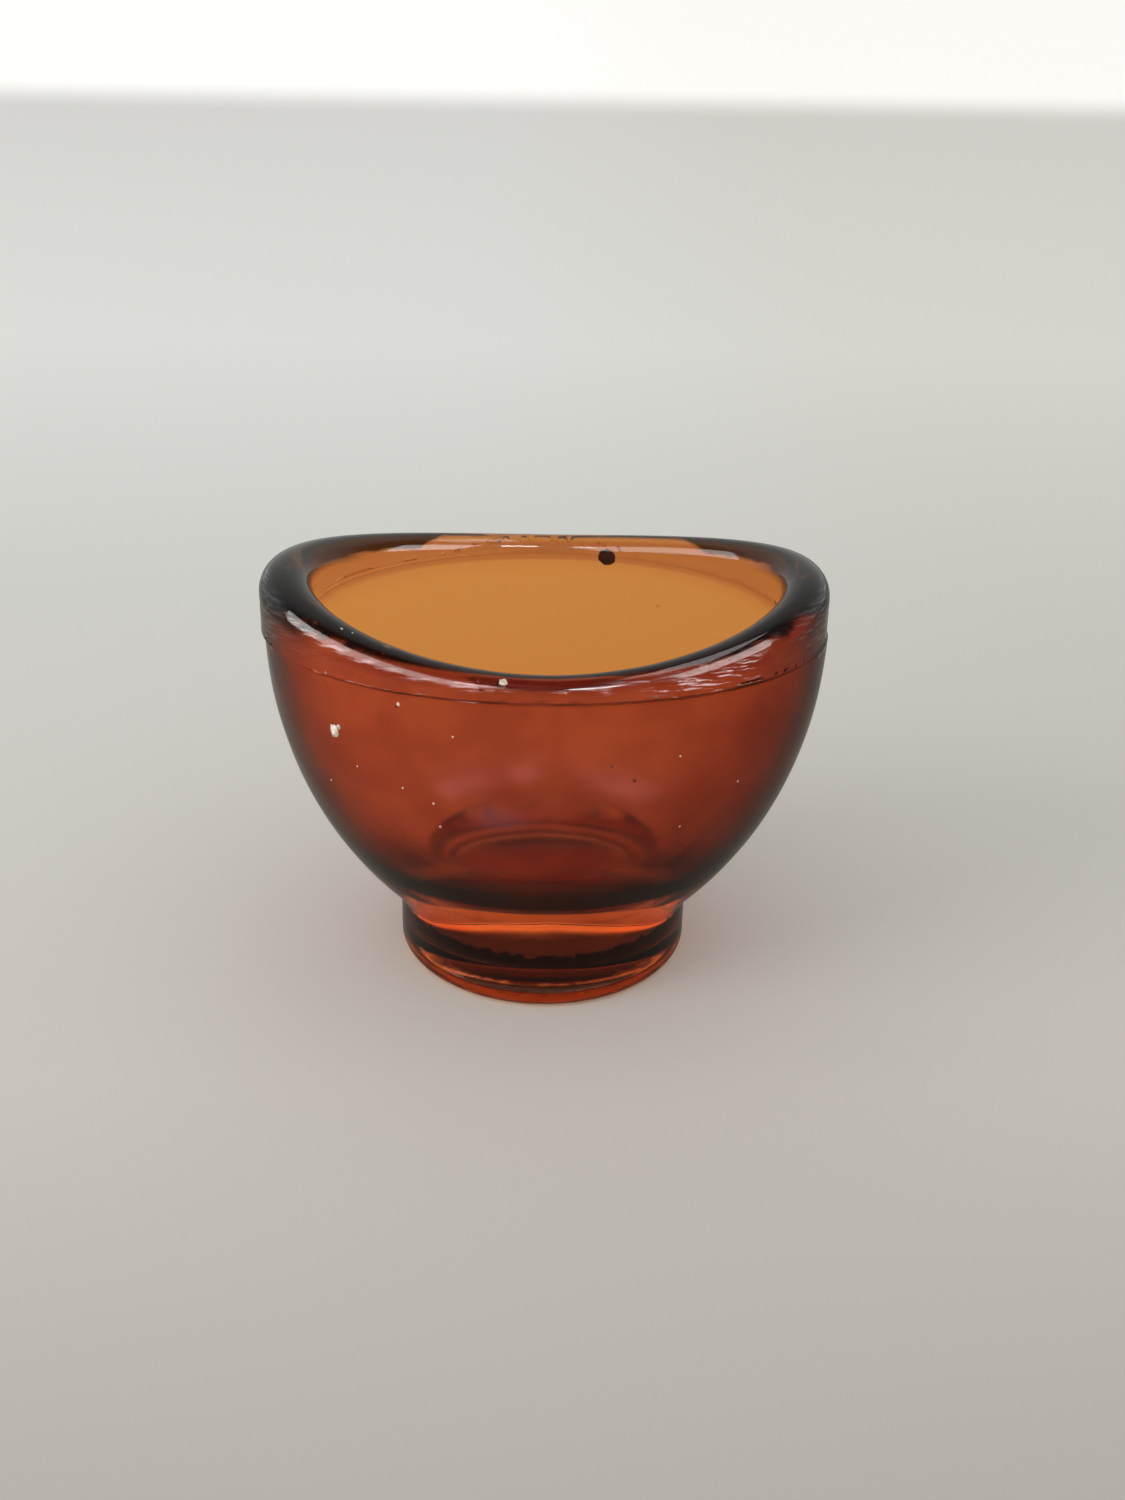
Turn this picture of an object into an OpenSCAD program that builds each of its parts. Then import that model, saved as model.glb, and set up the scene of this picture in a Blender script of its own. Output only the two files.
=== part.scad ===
// Eye bath: an oval cup of pressed glass with a saddle-shaped rim, standing on a round foot.
// Millimetres, +Z up. The origin is on the table, in the middle of the foot.
// The cup is long along X. The rim is high at both X ends and dips at the front (-Y) and back (+Y).
// The glass is divided where the mould parts met: the ring, the body and the base of the mould.

/* [Cup] */
// Length of the cup along X, outside, at the mould line
cup_length = 60; // [54:0.5:70]
// Depth of the cup along Y, outside, at the mould line
cup_depth = 41.5; // [37:0.5:48]
// Height of the mould line, where the rim sits on the bowl
mould_line_height = 38.6; // [32:0.2:46]

/* [Rim] */
// Thickness of the rim at its dipped front and back, and of the wall under it
rim_dip_thickness = 3.2; // [2.6:0.1:4.4]
// Thickness of the rim at its two raised ends, and of the wall under them
rim_end_thickness = 5.3; // [4:0.1:7]
// Rise of the rim's dipped front and back above the mould line
rim_dip_rise = 2.6; // [2:0.1:4]
// Rise of the rim's two raised ends above the mould line
rim_end_rise = 6.7; // [4.5:0.1:10]
// How late the rim starts to climb and thicken from the dips to the ends
rim_climb = 1.9; // [1.6:0.1:3]
// How much wider than the bowl the ring of the mould was, on each side
ring_overhang = 0.1; // [0:0.02:0.3]
// How far the ring of the mould sat off centre, towards -X
ring_slip = 0.25; // [0:0.05:0.5]

/* [Bowl] */
// Height at which the front and back of the bowl swell out past the round foot
neck_height = 12.5; // [9:0.1:16]
// Glass between the top of the foot and the lowest point of the hollow
floor_thickness = 1.6; // [1:0.1:6]
// Fullness of the hollow's curve, where 2 is half an ellipse
hollow_fullness = 2.4; // [2:0.1:3]

/* [Foot] */
// Diameter of the foot
foot_diameter = 32.3; // [29:0.1:37]
// Height of the foot, up to the mould line where the bowl's two ends leave it
foot_height = 6.5; // [5:0.1:8]
// Radius of the foot's lower edge
foot_edge_radius = 1.25; // [0.6:0.05:1.8]
// Diameter of the dish in the underside of the foot
dish_diameter = 27; // [16:0.5:28]
// Depth of the dish in the underside of the foot
dish_depth = 1.8; // [0.5:0.1:2.4]

/* [Hidden] */

// Steps around the cup, and rows of points up its surfaces
round_steps = 88;
wall_rows = 16;
hollow_rows = 14;
section_steps = 14;
$fn = 96;

glass_colour = [0.62, 0.27, 0.09];

half_length = cup_length / 2;
half_depth = cup_depth / 2;
foot_radius = foot_diameter / 2;
foot_drop = mould_line_height - foot_height;
hollow_depth = foot_drop - floor_thickness;

// Least height of the upright band of the bowl that stands on the foot
least_band = 0.25;

// How far down the curves of the bowl's ends and of its sides would run if they went on to the axis.
// The ends leave the round foot at the foot's top, and the sides leave it at the neck.
end_swell = foot_drop / sqrt(1 - pow(foot_radius / half_length, 2));
side_swell = (mould_line_height - neck_height) / sqrt(1 - pow(foot_radius / half_depth, 2));

// Least width of the flat ring that the foot stands on
least_flat = 0.6;

// The dish is a slice of a sphere, and leaves the flat ring around it.
dish_reach = min(dish_diameter / 2, foot_radius - foot_edge_radius - least_flat);
dish_radius = (pow(dish_reach, 2) + pow(dish_depth, 2)) / (2 * dish_depth);

// Angle of a step around the cup
function step_angle(i) = 360 * i / round_steps;

// Outward normal of the cup's oval at angle t
function oval_normal(t) =
    let (n = [cos(t) / half_length, sin(t) / half_depth])
    n / norm(n);

// Point of the cup's oval at angle t, moved in along the normal
function oval_point(t, inset) =
    [half_length * cos(t), half_depth * sin(t)] - inset * oval_normal(t);

// Direction from the axis to the cup's oval at angle t
function way_out(t) = oval_point(t, 0) / norm(oval_point(t, 0));

// Share of the way from the rim's dips, at 0, to its raised ends, at 1
function end_share(t) = pow(abs(cos(t)), rim_climb);

// Thickness of the rim, and of the wall at the mould line
function rim_thickness(t) =
    rim_dip_thickness + (rim_end_thickness - rim_dip_thickness) * end_share(t);

// Height of the rim's crest above the mould line
function rim_rise(t) =
    rim_dip_rise + (rim_end_rise - rim_dip_rise) * end_share(t);

// Point on the rim's section: step 0 and the last step are on the mould line, outside and inside,
// and the steps between them go over the round top
function rim_point(t, j) =
    let (
        over = max(0, min(1, (j - 1) / (section_steps - 2))),
        across = (1 - cos(180 * over)) / 2,
        cap = min(rim_thickness(t) / 2, 0.8 * rim_rise(t)),
        up = rim_rise(t) - cap + cap * sin(180 * over),
        p = oval_point(t, rim_thickness(t) * across - ring_overhang * (1 - across)),
        on_line = j == 0 || j == section_steps
    )
    [p.x - ring_slip * (1 - across), p.y, mould_line_height + (on_line ? 0 : up)];

// Distance from the axis to the bowl's oval skin, at a drop below the mould line
function oval_reach(t, drop) =
    let (
        along = half_length * sqrt(1 - pow(drop / end_swell, 2)),
        across = half_depth * sqrt(1 - pow(drop / side_swell, 2))
    )
    1 / norm([way_out(t).x / along, way_out(t).y / across]);

// Drop below the mould line at which the oval skin has shrunk to the round of the foot.
// Its square is the smaller root of a quadratic.
function crease_drop(t) =
    let (
        end_part = pow(way_out(t).x * foot_radius / half_length, 2),
        side_part = pow(way_out(t).y * foot_radius / half_depth, 2),
        end_bend = 1 / pow(end_swell, 2),
        side_bend = 1 / pow(side_swell, 2),
        b = end_bend * (1 - side_part) + side_bend * (1 - end_part),
        c = 1 - end_part - side_part,
        root = sqrt(b * b - 4 * end_bend * side_bend * c)
    )
    sqrt((b - root) / (2 * end_bend * side_bend));

// Point on the outside of the bowl, where share is 0 at the mould line and 1 at the crease
function bowl_point(t, share) =
    let (
        drop = share * min(crease_drop(t), foot_drop - least_band),
        p = way_out(t) * max(oval_reach(t, drop), foot_radius)
    )
    [p.x, p.y, mould_line_height - drop];

// Point on the round seat where the bowl stands on the foot
function seat_point(t) =
    [way_out(t).x * foot_radius, way_out(t).y * foot_radius, foot_height];

// How much of its width the hollow keeps at a share of its depth
function hollow_width(share) = pow(1 - pow(share, hollow_fullness), 1 / hollow_fullness);

// Point on the hollow, where a is 0 at the mould line and 90 at the lowest point
function hollow_point(t, a) =
    let (p = oval_point(t, rim_thickness(t)) * hollow_width(sin(a)))
    [p.x, p.y, mould_line_height - hollow_depth * sin(a)];

// Two triangles for each step between two rings of points, facing out when the rings run upwards
function band_faces(lower, upper) =
    [
        for (i = [0 : round_steps - 1])
            let (k = (i + 1) % round_steps)
            each [
                [lower + i, upper + i, upper + k],
                [lower + i, upper + k, lower + k]
            ]
    ];

// The saddle-shaped rim, a closed band of rounded section
module rim() {
    points = [
        for (j = [0 : section_steps])
            for (i = [0 : round_steps - 1])
                rim_point(step_angle(i), j)
    ];
    faces = [
        for (j = [0 : section_steps])
            let (next = (j + 1) % (section_steps + 1))
            each band_faces(j * round_steps, next * round_steps)
    ];
    color(glass_colour)
        polyhedron(points, faces);
}

// The bowl: its seat, the upright band and the swelling side up to the mould line, then the hollow
module bowl() {
    seat_ring = [for (i = [0 : round_steps - 1]) seat_point(step_angle(i))];
    outside = [
        for (j = [0 : wall_rows])
            for (i = [0 : round_steps - 1])
                bowl_point(step_angle(i), 1 - j / wall_rows)
    ];
    inside = [
        for (j = [0 : hollow_rows - 1])
            for (i = [0 : round_steps - 1])
                hollow_point(step_angle(i), 90 * j / hollow_rows)
    ];
    rings = wall_rows + 2 + hollow_rows;
    last_ring = (rings - 1) * round_steps;
    lowest = rings * round_steps;
    seat = [[for (i = [0 : round_steps - 1]) i]];
    bands = [
        for (j = [0 : rings - 2])
            each band_faces(j * round_steps, (j + 1) * round_steps)
    ];
    hollow_floor = [
        for (i = [0 : round_steps - 1])
            [last_ring + i, lowest, last_ring + (i + 1) % round_steps]
    ];
    color(glass_colour)
        polyhedron(
            concat(seat_ring, outside, inside, [hollow_point(0, 90)]),
            concat(seat, bands, hollow_floor)
        );
}

// Half of the foot's section, with a round lower edge and the dish taken out of its underside
module foot_section() {
    difference() {
        union() {
            square([foot_radius - foot_edge_radius, foot_height]);
            translate([0, foot_edge_radius])
                square([foot_radius, foot_height - foot_edge_radius]);
            translate([foot_radius - foot_edge_radius, foot_edge_radius])
                circle(foot_edge_radius);
        }
        translate([0, dish_depth - dish_radius])
            circle(dish_radius);
    }
}

// The round foot that the cup stands on
module foot() {
    color(glass_colour)
        rotate_extrude()
            foot_section();
}

rim();
bowl();
foot();
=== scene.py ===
"""Dress the eye bath: one body of amber pressed glass with its mould line, bubbles and batch stones."""

import logging
import math
from dataclasses import dataclass, field
from enum import Enum
from typing import Union

import bmesh
import bpy
import numpy as np
from mathutils import Matrix, Vector


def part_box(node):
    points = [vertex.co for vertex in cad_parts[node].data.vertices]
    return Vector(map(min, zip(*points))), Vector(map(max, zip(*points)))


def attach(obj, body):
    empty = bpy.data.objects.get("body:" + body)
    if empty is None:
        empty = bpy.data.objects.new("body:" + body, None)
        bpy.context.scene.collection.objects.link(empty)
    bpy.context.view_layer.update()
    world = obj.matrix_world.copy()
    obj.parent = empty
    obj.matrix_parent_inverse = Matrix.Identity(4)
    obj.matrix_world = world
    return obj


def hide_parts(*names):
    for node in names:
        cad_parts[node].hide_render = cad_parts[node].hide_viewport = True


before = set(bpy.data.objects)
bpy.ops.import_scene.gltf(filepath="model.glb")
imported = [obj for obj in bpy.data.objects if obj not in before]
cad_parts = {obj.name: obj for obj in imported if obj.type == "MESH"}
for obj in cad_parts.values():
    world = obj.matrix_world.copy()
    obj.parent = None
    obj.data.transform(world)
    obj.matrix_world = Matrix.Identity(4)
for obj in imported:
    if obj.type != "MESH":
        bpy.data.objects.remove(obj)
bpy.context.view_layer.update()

MM = 0.001
TURN = 2.0 * math.pi
IMAGE_LONG_SIDE = 1500.0
SENSOR_MM = 36.0
HOLLOW_MASK = "hollow_mask"
RIM_MASK = "rim_mask"
RING_MASK = "ring_mask"
PAINTED_SHADE_MASK = "painted_shade_mask"
RUN_MAP = "run_map"
BLACK = (0.0, 0.0, 0.0, 1.0)
WHITE = (1.0, 1.0, 1.0, 1.0)
DAYLIGHT = (1.0, 0.99, 0.97)
LOG = logging.getLogger("eye_bath")

Socket = bpy.types.NodeSocket
Outputs = bpy.types.NodeOutputs
Feed = Union[Socket, float, tuple]


class Band(Enum):
    """Bands of the glass, in the order in which the section runs from the underside to the hollow."""

    DISH = "dish"
    FOOT_EDGE = "foot_edge"
    FOOT_SIDE = "foot_side"
    BOWL = "bowl"
    MOULD_LINE = "mould_line"
    RIM = "rim"
    HOLLOW = "hollow"


class Site(Enum):
    """Where in the glass a bubble or stone lies."""

    RIM = "rim"
    WALL = "wall"


def ring_noise(angles: np.ndarray, waves: int, seed: int, fall: float = 0.5) -> np.ndarray:
    """Give smooth noise that closes on itself around the cup.

    Args:
        angles: Angles around the cup, in radians.
        waves: The most waves that fit around the cup.
        seed: Start of the random draw.
        fall: How fast the finer waves get weaker.

    Returns:
        One value for each angle, from -1 to 1.
    """
    draw = np.random.default_rng(seed)
    total = np.zeros_like(angles)
    for k in range(1, waves + 1):
        total += draw.normal() * k ** -fall * np.cos(k * angles + draw.uniform(0.0, TURN))
    return total / np.abs(total).max()


def skin_noise(angles: np.ndarray, along: np.ndarray, seed: int, waves: int = 18) -> np.ndarray:
    """Give the slow unevenness of a pressed surface.

    Args:
        angles: Angles around the cup, in radians, one for each column.
        along: Length along the section, in metres, as rows by columns.
        seed: Start of the random draw.
        waves: How many waves are laid over each other.

    Returns:
        Values from about -1 to 1, as rows by columns.
    """
    draw = np.random.default_rng(seed)
    total = np.zeros_like(along)
    for _ in range(waves):
        around = int(draw.integers(2, 15))
        up = draw.uniform(80.0, 620.0)
        phase = draw.uniform(0.0, TURN)
        total += np.cos(around * angles[None, :] + up * along + phase)
    return total / math.sqrt(waves) / 1.6


def step_up(values: np.ndarray, start: float, width: float) -> np.ndarray:
    """Give 0 below a start and 1 from a width above it on, with a straight slope between them."""
    return np.clip((values - start) / width, 0.0, 1.0)


def link_mesh(name: str, vertices: list, faces: list, material: bpy.types.Material) -> bpy.types.Object:
    """Make a smooth-shaded mesh object in the scene.

    Args:
        name: Name of the piece.
        vertices: Points, in metres, in the part's frame.
        faces: Corner numbers of each face, turning left around its outward normal.
        material: The finish that covers it.

    Returns:
        The new object.
    """
    mesh = bpy.data.meshes.new(name)
    mesh.from_pydata(vertices, [], faces)
    mesh.materials.append(material)
    mesh.polygons.foreach_set("use_smooth", [True] * len(mesh.polygons))
    mesh.update()
    piece = bpy.data.objects.new(name, mesh)
    bpy.context.scene.collection.objects.link(piece)
    return piece


@dataclass
class NodeSheet:
    """The nodes of a material, a group or the world, with short ways to add and join them."""

    tree: bpy.types.NodeTree

    def add(self, kind: str, **values: object) -> bpy.types.Node:
        """Add a node and set its inputs and properties.

        Args:
            kind: Blender's name for the node's type.
            **values: Properties, or inputs with spaces written as underscores.

        Returns:
            The new node.
        """
        node = self.tree.nodes.new(kind)
        for key, value in values.items():
            socket = node.inputs.get(key.replace("_", " "))
            if socket is None:
                setattr(node, key, value)
            else:
                socket.default_value = value
        return node

    def join(self, start: Feed, end: Socket) -> None:
        """Join an output to an input, or set the input to a plain value.

        Args:
            start: The output, or the plain value.
            end: The input.
        """
        if isinstance(start, Socket):
            self.tree.links.new(start, end)
        else:
            end.default_value = start

    def axes(self, space: str = "Object") -> Outputs:
        """Split the place on the object, or the way into the world, into X, Y and Z.

        Args:
            space: Blender's name for the coordinates.

        Returns:
            The outputs X, Y and Z.
        """
        split = self.add("ShaderNodeSeparateXYZ")
        self.join(self.add("ShaderNodeTexCoord").outputs[space], split.inputs["Vector"])
        return split.outputs

    def mask(self, name: str) -> Socket:
        """Read a mask that is kept on the mesh."""
        return self.add("ShaderNodeAttribute", attribute_name=name).outputs["Fac"]

    def uneven(self, group: bpy.types.NodeTree, wave: float, grain: float) -> Outputs:
        """Place the shared group of waves and grain, and give its outputs."""
        return self.add("ShaderNodeGroup", node_tree=group, Wave_Scale=wave, Grain_Scale=grain).outputs

    def sum(self, operation: str, *values: Feed, clamp: bool = False) -> Socket:
        """Work out one step of arithmetic.

        Args:
            operation: Blender's name for the step.
            *values: Outputs or plain numbers, in the order of the node's inputs.
            clamp: Whether the result is kept from 0 to 1.

        Returns:
            The result's socket.
        """
        node = self.add("ShaderNodeMath", operation=operation, use_clamp=clamp)
        for value, end in zip(values, node.inputs):
            self.join(value, end)
        return node.outputs["Value"]

    def mix(self, share: Socket, start: Feed, end: Feed, blend: str = "MIX") -> Socket:
        """Mix two colours.

        Args:
            share: How far to go.
            start: The colour at share 0.
            end: The colour at share 1, or what the first is multiplied by there.
            blend: Blender's name for the kind of mix.

        Returns:
            The mixed colour's socket.
        """
        node = self.add("ShaderNodeMix", data_type="RGBA", blend_type=blend)
        for source, name in ((share, "Factor"), (start, "A"), (end, "B")):
            self.join(source, node.inputs[name])
        return node.outputs["Result"]

    def ramp(self, source: Socket, low: float, high: float, out_low: float, out_high: float) -> Socket:
        """Map a value from one range to another with soft ends.

        Args:
            source: The value to map.
            low: Start of the value's range.
            high: End of the value's range.
            out_low: Result at the start.
            out_high: Result at the end.

        Returns:
            The mapped value's socket.
        """
        node = self.add("ShaderNodeMapRange", interpolation_type="SMOOTHSTEP")
        for name, value in (("From Min", low), ("From Max", high), ("To Min", out_low), ("To Max", out_high)):
            node.inputs[name].default_value = value
        self.join(source, node.inputs["Value"])
        return node.outputs["Result"]

    def shades(self, source: Socket, stops: list) -> Socket:
        """Turn a value into a colour that runs through set shades.

        Args:
            source: The value to turn into a colour.
            stops: Values and their colours, in rising order.

        Returns:
            The colour's socket.
        """
        first, last = stops[0][0], stops[-1][0]
        share = self.add("ShaderNodeMapRange")
        share.inputs["From Min"].default_value = first
        share.inputs["From Max"].default_value = last
        self.join(source, share.inputs["Value"])
        node = self.add("ShaderNodeValToRGB")
        for _ in stops[2:]:
            node.color_ramp.elements.new(0.5)
        for stop, (value, colour) in zip(node.color_ramp.elements, stops):
            stop.position, stop.color = (value - first) / (last - first), colour
        self.join(share.outputs["Result"], node.inputs["Fac"])
        return node.outputs["Color"]

    def bump(self, height: Socket, distance: float) -> Socket:
        """Turn a height into a normal.

        Args:
            height: The height, from 0 to 1.
            distance: What a height of 1 stands for, in metres.

        Returns:
            The normal's socket.
        """
        node = self.add("ShaderNodeBump", Strength=1.0, Distance=distance)
        self.join(height, node.inputs["Height"])
        return node.outputs["Normal"]

    def mirrored(self, path: Outputs) -> Socket:
        """Give 1 for light that was mirrored and 0 for light that also went through glass."""
        return self.sum("SUBTRACT", path["Is Glossy Ray"], path["Is Transmission Ray"], clamp=True)


def start_material(name: str) -> tuple:
    """Start a material.

    Args:
        name: The material's name.

    Returns:
        The material, its nodes and its Principled shader.
    """
    made = bpy.data.materials.new(name)
    made.use_nodes = True
    sheet = NodeSheet(made.node_tree)
    return made, sheet, sheet.tree.nodes["Principled BSDF"]


def uneven_group() -> bpy.types.NodeTree:
    """Build the shared group that gives a slow wave and fine grain in object space.

    Returns:
        The group, with Wave Scale, Grain Scale, Wave and Grain as its sockets.
    """
    group = bpy.data.node_groups.new("uneven_surface", "ShaderNodeTree")
    for name, value in (("Wave Scale", 180.0), ("Grain Scale", 1400.0)):
        socket = group.interface.new_socket(name=name, in_out="INPUT", socket_type="NodeSocketFloat")
        socket.default_value = value
    for name in ("Wave", "Grain"):
        group.interface.new_socket(name=name, in_out="OUTPUT", socket_type="NodeSocketFloat")
    sheet = NodeSheet(group)
    entry = sheet.add("NodeGroupInput")
    leave = sheet.add("NodeGroupOutput")
    place = sheet.add("ShaderNodeTexCoord")
    wave = sheet.add("ShaderNodeTexNoise", Detail=2.0, Roughness=0.45)
    grain = sheet.add("ShaderNodeTexNoise", Detail=4.0, Roughness=0.6)
    for node, name in ((wave, "Wave"), (grain, "Grain")):
        sheet.join(place.outputs["Object"], node.inputs["Vector"])
        sheet.join(entry.outputs[name + " Scale"], node.inputs["Scale"])
        sheet.join(node.outputs["Fac"], leave.inputs[name])
    return group


@dataclass(frozen=True)
class AmberGlass:
    """Amber pressed glass: stained in its outer skin, with painted light and shade, nearly clear in the hollow, a
    little uneven and smeared.
    """

    ior: float = 1.5
    mirror: tuple = (0.6, 0.6, 0.6, 1.0)
    # Stain at the front, deepening to painted shade, nearly black, where the skin turns away at the edges.
    slant_tint_and_shade: tuple = (
        (0.16, (0.41, 0.066, 0.11, 1.0)),
        (0.3, (0.43, 0.056, 0.085, 1.0)),
        (0.45, (0.22, 0.022, 0.026, 1.0)),
        (0.6, (0.04, 0.007, 0.006, 1.0)),
        (0.72, (0.01, 0.004, 0.004, 1.0)),
        (1.0, (0.003, 0.002, 0.002, 1.0)),
    )
    # Painted light and shade up the foot: a pale orange bottom edge, a dark band, a light band and a darker line above
    # it.
    foot_painted_light_shade: tuple = (
        (1.3 * MM, (1.0, 0.46, 0.24, 1.0)),
        (2.2 * MM, (0.6, 0.12, 0.07, 1.0)),
        (3.3 * MM, (0.02, 0.0012, 0.0006, 1.0)),
        (6.6 * MM, (0.016, 0.0008, 0.0004, 1.0)),
        (6.95 * MM, (1.0, 0.1, 0.06, 1.0)),
        (8.7 * MM, (1.0, 0.11, 0.065, 1.0)),
        (9.2 * MM, (0.9, 0.15, 0.15, 1.0)),
        (10.1 * MM, (0.85, 0.14, 0.14, 1.0)),
        (10.5 * MM, (0.62, 0.11, 0.12, 1.0)),
        (11.0 * MM, (0.95, 0.17, 0.18, 1.0)),
        (12.5 * MM, (1.0, 0.19, 0.2, 1.0)),
    )
    ragged: float = 2.2 * MM
    foot_rise: tuple = (11.7 * MM, 12.7 * MM)
    foot_slant: tuple = (0.62, 0.95)
    # Painted shade where the bowl's bottom meets the foot.
    root_rise: tuple = (14.2 * MM, 19.5 * MM)
    root_painted_shade: tuple = (0.015, 0.2, 0.15, 1.0)
    # Painted shade over the bowl's right side, reaching further in lower down.
    right_dim_lean: float = -0.35
    right_dim_reach: tuple = (-4.0 * MM, 10.0 * MM)
    right_painted_shade: tuple = (0.45, 0.3, 0.28, 1.0)
    deep_waves: tuple = (0.36, 0.66)
    deepest: tuple = (0.72, 0.6, 0.6, 1.0)
    seen_through: tuple = (0.9, 0.15, 0.01, 1.0)
    clear_skin: tuple = (1.0, 0.985, 0.95, 1.0)
    ring_through: tuple = (0.64, 0.4, 0.5, 1.0)
    # Near black, for painted shade on the dish, the mould line's groove and the rim's crest.
    painted_shade: tuple = (0.004, 0.004, 0.004, 1.0)
    absorb_density: float = 16.0
    absorb_colour: tuple = (0.94, 0.69, 0.0, 1.0)
    wave_scale: float = 170.0
    wave_height: float = 0.02 * MM
    grain_scale: float = 900.0
    smears: tuple = (0.5, 0.78)
    smooth_roughness: float = 0.0
    smeared_roughness: float = 0.09
    floor_rise: tuple = (12.0 * MM, 24.0 * MM)
    floor_roughness: float = 0.24
    hollow_roughness: float = 0.1
    streak_scale: float = 2800.0
    dull_streaks: tuple = (0.42, 0.58)
    dull_roughness: float = 0.16
    coat_streaks: tuple = (0.48, 0.62)
    coat_least: float = 0.04
    coat_roughness: float = 0.08
    dent_height: float = 0.03 * MM
    tip_streaks: tuple = (0.46, 0.66)
    tip_most: float = 0.8
    tip_along: tuple = (0.0, 12.0 * MM)
    tip_least: float = 0.3
    tip_across: tuple = (-9.0 * MM, -4.0 * MM)

    def material(self, uneven: bpy.types.NodeTree) -> bpy.types.Material:
        """Build the material.

        Args:
            uneven: The shared group of waves and grain.

        Returns:
            The finished material.
        """
        made, sheet, _ = start_material("amber_glass")
        sheet.tree.nodes.clear()
        out = sheet.add("ShaderNodeOutputMaterial")
        body = sheet.add("ShaderNodeBsdfPrincipled", IOR=self.ior, Transmission_Weight=1.0)
        body.inputs["Specular Tint"].default_value = self.mirror
        body.inputs["Coat Roughness"].default_value = self.coat_roughness
        soak = sheet.add("ShaderNodeVolumeAbsorption", Color=self.absorb_colour, Density=self.absorb_density)
        skin, axes = sheet.uneven(uneven, self.wave_scale, self.grain_scale), sheet.axes()
        noise = sheet.add("ShaderNodeTexNoise", Scale=self.streak_scale, Detail=4.0, Roughness=0.62)
        run = sheet.add("ShaderNodeAttribute", attribute_name=RUN_MAP)
        sheet.join(run.outputs["Vector"], noise.inputs["Vector"])
        streak = noise.outputs["Fac"]
        coat = sheet.ramp(streak, *self.coat_streaks, self.coat_least, 1.0)
        for source, name in (
            (self.tint_and_painted_shade(sheet, skin, axes), "Base Color"),
            (self.roughness(sheet, skin, axes, streak), "Roughness"),
            (sheet.sum("MULTIPLY", sheet.mask(RIM_MASK), coat), "Coat Weight"),
            (sheet.bump(skin["Wave"], self.wave_height), "Normal"),
            (self.tipped(sheet, axes, streak), "Coat Normal"),
        ):
            sheet.join(source, body.inputs[name])
        sheet.join(body.outputs["BSDF"], out.inputs["Surface"])
        sheet.join(soak.outputs["Volume"], out.inputs["Volume"])
        return made

    def tint_and_painted_shade(self, sheet: NodeSheet, skin: Outputs, axes: Outputs) -> Socket:
        """Colour the skin with its stain and painted light and shade, and leave the hollow nearly clear.

        Args:
            sheet: The nodes to add to.
            skin: The waves and grain.
            axes: The place on the glass.

        Returns:
            The colour's socket.
        """
        facing = sheet.add("ShaderNodeLayerWeight", Blend=0.5).outputs["Facing"]
        # Painted shade: the stain deepens to near black where the skin turns away at the edges.
        shade = sheet.shades(facing, self.slant_tint_and_shade)
        # Painted shade over the bowl's right side, reaching further in lower down.
        side = sheet.sum("MULTIPLY_ADD", axes["Z"], self.right_dim_lean, axes["X"])
        shade = sheet.mix(sheet.ramp(side, *self.right_dim_reach, 0.0, 1.0), shade, self.right_painted_shade, "MULTIPLY")
        # Painted shade where the bowl's bottom meets the foot.
        root = sheet.ramp(axes["Z"], *self.root_rise, 1.0, 0.0)
        shade = sheet.mix(root, shade, self.root_painted_shade, "MULTIPLY")
        # Painted light and shade in ragged bands up the foot's side, laid on where the foot stands upright.
        height = sheet.sum("MULTIPLY_ADD", skin["Grain"], self.ragged, axes["Z"])
        painted_foot_bands = sheet.shades(height, [(z + 0.5 * self.ragged, colour) for z, colour in self.foot_painted_light_shade])
        low = sheet.ramp(axes["Z"], *self.foot_rise, 1.0, 0.0)
        upright = sheet.ramp(facing, *self.foot_slant, 1.0, 0.0)
        shade = sheet.mix(sheet.sum("MULTIPLY", low, upright), shade, painted_foot_bands)
        deep = sheet.ramp(skin["Wave"], *self.deep_waves, 0.0, 1.0)
        shade = sheet.mix(deep, shade, self.deepest, "MULTIPLY")
        shade = sheet.mix(sheet.add("ShaderNodeNewGeometry").outputs["Backfacing"], shade, self.seen_through)
        shade = sheet.mix(sheet.mask(HOLLOW_MASK), shade, self.clear_skin)
        shade = sheet.mix(sheet.mask(RING_MASK), shade, self.ring_through, "MULTIPLY")
        # Painted shade, near black, on the dish, the mould line's groove and the rim's crest.
        return sheet.mix(sheet.mask(PAINTED_SHADE_MASK), shade, self.painted_shade, "MULTIPLY")

    def roughness(self, sheet: NodeSheet, skin: Outputs, axes: Outputs, streak: Socket) -> Socket:
        """Smear the outside, roughen the hollow towards its floor and dull the rim between its streaks.

        Args:
            sheet: The nodes to add to.
            skin: The waves and grain.
            axes: The place on the glass.
            streak: The streaks that run around the glass.

        Returns:
            The roughness's socket.
        """
        smear = sheet.ramp(skin["Grain"], *self.smears, self.smooth_roughness, self.smeared_roughness)
        floor = sheet.ramp(axes["Z"], *self.floor_rise, self.floor_roughness, self.hollow_roughness)
        rough = sheet.sum("MAXIMUM", smear, sheet.sum("MULTIPLY", sheet.mask(HOLLOW_MASK), floor))
        dull = sheet.ramp(streak, *self.dull_streaks, self.dull_roughness, 0.0)
        return sheet.sum("MULTIPLY_ADD", dull, sheet.mask(RIM_MASK), rough)

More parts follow.
